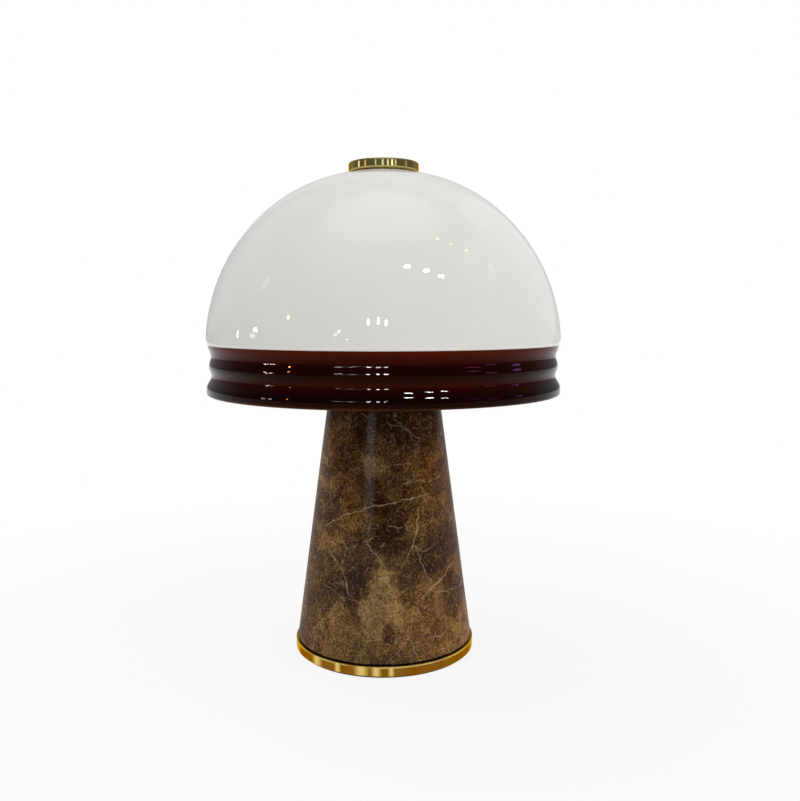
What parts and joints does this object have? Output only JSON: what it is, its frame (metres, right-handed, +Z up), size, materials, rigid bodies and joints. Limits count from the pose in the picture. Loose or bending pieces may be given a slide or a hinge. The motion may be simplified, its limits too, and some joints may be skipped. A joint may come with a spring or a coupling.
{
  "type": "table lamp",
  "caption": "Mushroom table lamp with an opal glass dome and ribbed amber glass band on a tapered marble body with a brass foot, and a brass finial that unscrews so the shade lifts off.",
  "frame": {"origin": "centre of the felt's underside, on the table", "axes": "+Z up along the lamp's centre line, the front looks along -Y, the cord inlet faces +Y"},
  "size_m": [0.3546, 0.3546, 0.4938],
  "materials": {
    "felt": "short dark nap",
    "foot_brass": "polished",
    "finial_brass": "polished",
    "stem_brass": "satin",
    "gasket_rubber": "matt",
    "marble": "polished, mottled brown with pale veins",
    "zinc_steel": "zinc plated",
    "black_nylon": "fine moulded grain",
    "white_nylon": "moulded",
    "holder_resin": "moulded, half gloss",
    "contact_brass": "bright",
    "lead_sleeve": "woven sleeve",
    "bulb_nickel": "nickel plated",
    "tip_glass": "black glass insulator with a solder tip",
    "bulb_opal": "opal",
    "opal_glass": "glossy white, cased",
    "amber_glass": "clear dark amber, glossy",
    "silicone": "soft, translucent"
  },
  "bodies": {
    "base": {"felt_pad": "felt", "foot_disc": "foot_brass", "base_gasket": "gasket_rubber", "marble_body": "marble", "marble_cap": "stem_brass", "tie_rods": "zinc_steel", "tie_washers": "zinc_steel", "tie_nuts": "zinc_steel", "cord_bush": "black_nylon", "terminal_block": "white_nylon", "block_screw": "zinc_steel", "stem_tube": "stem_brass", "stem_nut": "stem_brass", "stem_collar": "stem_brass", "hub_body": "stem_brass", "hub_lid": "stem_brass", "hub_nipples": "zinc_steel", "nipple_nuts": "zinc_steel", "crown_rod": "stem_brass", "rod_nuts": "stem_brass", "seat_nut": "stem_brass", "seat_disc": "stem_brass", "seat_washer": "silicone", "holder_cap_left": "holder_resin", "holder_body_left": "holder_resin", "screw_shell_left": "contact_brass", "centre_contact_left": "contact_brass", "lamp_lead_left": "lead_sleeve", "holder_cap_right": "holder_resin", "holder_body_right": "holder_resin", "screw_shell_right": "contact_brass", "centre_contact_right": "contact_brass", "lamp_lead_right": "lead_sleeve"},
    "shade": {"opal_dome": "opal_glass", "amber_band": "amber_glass"},
    "finial_washer": {"finial_washer": "silicone"},
    "finial": {"finial_disc": "finial_brass"},
    "bulb_tip_left": {"bulb_tip_left": "tip_glass"},
    "bulb_left": {"bulb_cap_left": "bulb_nickel", "bulb_glass_left": "bulb_opal"},
    "bulb_tip_right": {"bulb_tip_right": "tip_glass"},
    "bulb_right": {"bulb_cap_right": "bulb_nickel", "bulb_glass_right": "bulb_opal"}
  },
  "joints": [
    {"name": "shade_lift", "type": "slide", "parent": "base", "child": "shade", "axis": [0, 0, 1], "range_m": [0, 0.235]},
    {"name": "finial_rise", "type": "slide", "parent": "shade", "child": "finial_washer", "axis": [0, 0, 1], "range_m": [0, 0.0061]},
    {"name": "finial_turn", "type": "hinge", "parent": "finial_washer", "child": "finial", "pos_m": [0, 0, 0.489], "axis": [0, 0, 1], "range_deg": [0, 2160]},
    {"name": "bulb_left_out", "type": "slide", "parent": "base", "child": "bulb_tip_left", "axis": [-1, 0, 0], "range_m": [0, 0.0114]},
    {"name": "bulb_left_turn", "type": "hinge", "parent": "bulb_tip_left", "child": "bulb_left", "pos_m": [-0.06, 0, 0.366], "axis": [-1, 0, 0], "range_deg": [0, 1440]},
    {"name": "bulb_right_out", "type": "slide", "parent": "base", "child": "bulb_tip_right", "axis": [1, 0, 0], "range_m": [0, 0.0114]},
    {"name": "bulb_right_turn", "type": "hinge", "parent": "bulb_tip_right", "child": "bulb_right", "pos_m": [0.06, 0, 0.366], "axis": [1, 0, 0], "range_deg": [0, 1440]}
  ],
  "couplings": [
    {"joint": "finial_rise", "follows": "finial_turn", "m_per_rad": 0.00015915},
    {"joint": "bulb_left_out", "follows": "bulb_left_turn", "m_per_rad": 0.00044882},
    {"joint": "bulb_right_out", "follows": "bulb_right_turn", "m_per_rad": 0.00044882}
  ]
}
